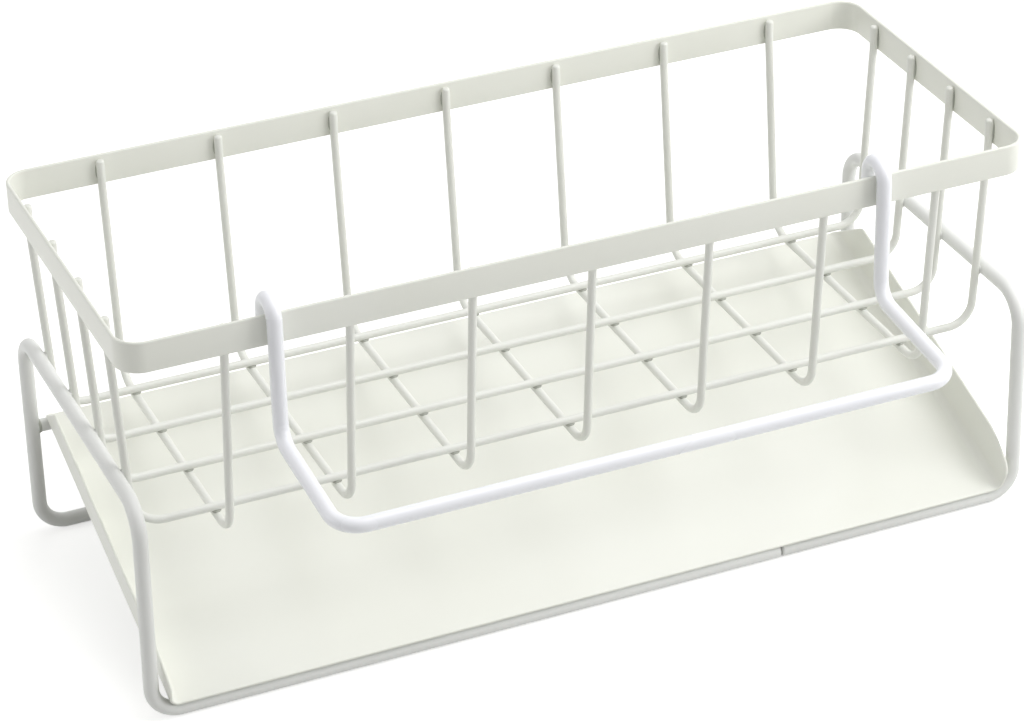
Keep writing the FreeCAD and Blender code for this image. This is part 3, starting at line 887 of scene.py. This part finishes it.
    def on_slope(self, points: np.ndarray) -> np.ndarray:
        """Tilt the tray's own frame about X and move it to the front rail.

        Args:
            points: Points across, along the slope and square to it.

        Returns:
            The same points in the part's frame.
        """
        angle = math.radians(self.slope)
        y = self.origin_y + points[:, 1] * math.cos(angle) - points[:, 2] * math.sin(angle)
        z = self.origin_z + points[:, 1] * math.sin(angle) + points[:, 2] * math.cos(angle)
        return np.column_stack([points[:, 0], y, z])

    def build(self, coats: Coats) -> None:
        """Make the tray's one piece."""
        self.piece("folded_drip_tray", self.skin(), coats[Finish.IVORY_SHEET], "drip_tray")


@dataclass
class TowelBar(SubAssembly):
    """Rod with a hook, a leg and a forward arm at each side, joined by the bar in front."""

    body: Body = Body.TOWEL_RAIL
    slot: Slot = Slot.WHITE
    # a hair under the CAD size, so that its finer round stays inside the CAD box
    diameter: float = 3.98
    end_round: float = 1.4
    left_x: float = -86.5
    right_x: float = 80.3
    tail_y: float = -22.3
    leg_y: float = -30.5
    bar_y: float = -70.0
    tail_z: float = 98.6753
    crest_z: float = 111.7753
    knee_z: float = 74.3
    bar_z: float = 71.0
    hook_radius: float = 4.1
    knee_radius: float = 6.0
    corner_radius: float = 7.0

    def skin(self) -> Surface:
        """Skin the rod from one hook's tail to the other's.

        Returns:
            The closed skin.
        """
        half = np.array([[self.tail_y, self.tail_z], [self.tail_y, self.crest_z], [self.leg_y, self.crest_z],
                         [self.leg_y, self.knee_z], [self.bar_y, self.bar_z]])
        corners = np.concatenate([np.insert(half, 0, self.left_x, axis=1),
                                  np.insert(half[::-1], 0, self.right_x, axis=1)])
        radii = [self.hook_radius, self.hook_radius, self.knee_radius, self.corner_radius]
        return RodPath.bent(corners, radii + radii[::-1]).rod(self.diameter / 2, self.end_round, ring=36)

    def build(self, coats: Coats) -> None:
        """Make the bar's one piece."""
        self.piece("hooked_towel_bar", self.skin(), coats[Finish.WHITE], "towel_bar")


# Studio


@dataclass(frozen=True)
class Softbox:
    """A square lamp that is aimed at the holder's middle."""

    name: str
    azimuth: float
    elevation: float
    distance: float
    size: float
    watts: float

    def hang(self, target: Vector) -> None:
        """Hang the lamp: azimuth 0 is in front, 90 to the right.

        Args:
            target: Where it is aimed.
        """
        a, e = math.radians(self.azimuth), math.radians(self.elevation)
        back = Vector((math.sin(a) * math.cos(e), -math.cos(a) * math.cos(e), math.sin(e)))
        lamp = bpy.data.lights.new(self.name, "AREA")
        lamp.shape, lamp.size, lamp.energy = "SQUARE", self.size, self.watts
        made = bpy.data.objects.new(self.name, lamp)
        made.location = target + back * self.distance
        made.rotation_mode = "QUATERNION"
        made.rotation_quaternion = (-back).to_track_quat("-Z", "Y")
        bpy.context.scene.collection.objects.link(made)


@dataclass
class Studio:
    """Floor, lamps, world and the photograph's camera."""

    camera_place: tuple[float, float, float] = (-331.201, -761.562, 546.378)
    azimuth: float = -22.7588
    elevation: float = 30.3924
    roll: float = 1.3413
    lens: float = 128.794
    sensor: float = 36.0
    clip_near_m: float = 0.01
    clip_far_m: float = 50.0
    target: tuple[float, float, float] = (0.0, 10.0, 55.0)
    world_strength: float = 0.34
    floor_half: float = 4000.0
    # the floor lies a hair under the part's lowest point, so that nothing cuts into it
    floor_drop: float = 0.05
    floor_colour: str = "#d9d9d7"
    floor_glow: float = 0.6

    def boxes(self) -> list[Softbox]:
        """List the lamps, with angles in degrees and lengths in metres.

        Returns:
            The lamps.
        """
        return [
            Softbox("key_softbox", azimuth=62.0, elevation=66.0, distance=1.0, size=0.7, watts=3.8),
            Softbox("front_softbox", azimuth=49.0, elevation=24.0, distance=1.0, size=0.4, watts=2.6),
            Softbox("side_softbox", azimuth=76.0, elevation=32.0, distance=0.55, size=0.3, watts=0.5),
            Softbox("right_rim_softbox", azimuth=106.0, elevation=12.0, distance=0.8, size=0.25, watts=0.55),
            Softbox("rear_rim_softbox", azimuth=158.0, elevation=25.0, distance=1.0, size=0.4, watts=0.5),
            Softbox("left_fill", azimuth=-100.0, elevation=14.0, distance=0.9, size=0.5, watts=1.5),
            Softbox("top_softbox", azimuth=150.0, elevation=80.0, distance=1.0, size=0.9, watts=2.2),
        ]

    def seen(self, tree: bpy.types.NodeTree) -> bpy.types.NodeSocket:
        """Tell what is seen, straight or in a reflection, from what only gives light.

        Args:
            tree: Where the nodes go.

        Returns:
            A socket that is 1 for camera, glossy and transmission rays.
        """
        rays = add_node(tree, "ShaderNodeLightPath")
        mirror = add_node(tree, "ShaderNodeMath", {
            0: rays.outputs["Is Glossy Ray"], 1: rays.outputs["Is Transmission Ray"]}, operation="ADD")
        both = add_node(tree, "ShaderNodeMath", {
            0: rays.outputs["Is Camera Ray"], 1: mirror.outputs[0]}, operation="ADD", use_clamp=True)
        return both.outputs[0]

    def set_world(self) -> None:
        """Give the room a soft even light and a white background."""
        world = bpy.data.worlds.new("studio_room")
        world.use_nodes = True
        tree = world.node_tree
        tree.nodes.clear()
        white = linear("#ffffff")
        light = add_node(tree, "ShaderNodeBackground", {"Color": white, "Strength": self.world_strength})
        backdrop = add_node(tree, "ShaderNodeBackground", {"Color": white, "Strength": 1.0})
        shown = add_node(tree, "ShaderNodeMixShader", {
            0: self.seen(tree), 1: light.outputs[0], 2: backdrop.outputs[0]})
        add_node(tree, "ShaderNodeOutputWorld", {"Surface": shown.outputs[0]})
        bpy.context.scene.world = world

    def lay_floor(self) -> None:
        """Lay a pale sweep of paper, which shows as white outside the holder's shadow."""
        half, level = self.floor_half * METRES, -self.floor_drop * METRES
        corners = [(-half, -half, level), (half, -half, level), (half, half, level), (-half, half, level)]
        mesh = bpy.data.meshes.new("paper_floor")
        mesh.from_pydata(corners, [], [(0, 1, 2, 3)])
        floor = bpy.data.objects.new("paper_floor", mesh)
        bpy.context.scene.collection.objects.link(floor)
        paper = bpy.data.materials.new("matt_white_paper")
        paper.use_nodes = True
        tree = paper.node_tree
        tree.nodes.clear()
        matt = add_node(tree, "ShaderNodeBsdfDiffuse", {"Color": linear(self.floor_colour)})
        glow = add_node(tree, "ShaderNodeEmission", {"Color": linear("#ffffff"), "Strength": self.floor_glow})
        lifted = add_node(tree, "ShaderNodeAddShader", {0: matt.outputs[0], 1: glow.outputs[0]})
        shown = add_node(tree, "ShaderNodeMixShader", {
            0: self.seen(tree), 1: matt.outputs[0], 2: lifted.outputs[0]})
        add_node(tree, "ShaderNodeOutputMaterial", {"Surface": shown.outputs[0]})
        mesh.materials.append(paper)

    def set_camera(self) -> None:
        """Stand the camera where the photograph was taken from.

        It looks back along (sin a cos e, -cos a cos e, sin e), with its right hand level and then
        rolled about that line.
        """
        a, e, r = (math.radians(angle) for angle in (self.azimuth, self.elevation, self.roll))
        back = np.array([math.sin(a) * math.cos(e), -math.cos(a) * math.cos(e), math.sin(e)])
        right = unit(np.cross(UP, back))
        down = np.cross(right, back)
        axes = np.column_stack([math.cos(r) * right + math.sin(r) * down,
                                math.sin(r) * right - math.cos(r) * down, back])
        lens = bpy.data.cameras.new("photo_camera")
        lens.lens, lens.sensor_width, lens.sensor_fit = self.lens, self.sensor, "HORIZONTAL"
        lens.clip_start, lens.clip_end = self.clip_near_m, self.clip_far_m
        camera = bpy.data.objects.new("photo_camera", lens)
        place = Matrix.Translation(Vector(self.camera_place) * METRES)
        camera.matrix_world = place @ Matrix(axes.tolist()).to_4x4()
        bpy.context.scene.collection.objects.link(camera)
        bpy.context.scene.camera = camera

    def build(self) -> None:
        """Set up the whole studio."""
        self.set_world()
        self.lay_floor()
        for box in self.boxes():
            box.hang(Vector(self.target) * METRES)
        self.set_camera()
        bpy.context.scene.view_settings.view_transform = "Standard"


def main() -> None:
    """Build and dress the holder, then the studio."""
    logging.basicConfig(level=logging.INFO, format="%(message)s")
    coats: Coats = {finish: finish.value.material() for finish in Finish}
    for assembly in (RimStrip(), WireBasket(), RodFrame(), DripTray(), TowelBar()):
        assembly.build(coats)
    Studio().build()


if __name__ == "__main__":
    main()
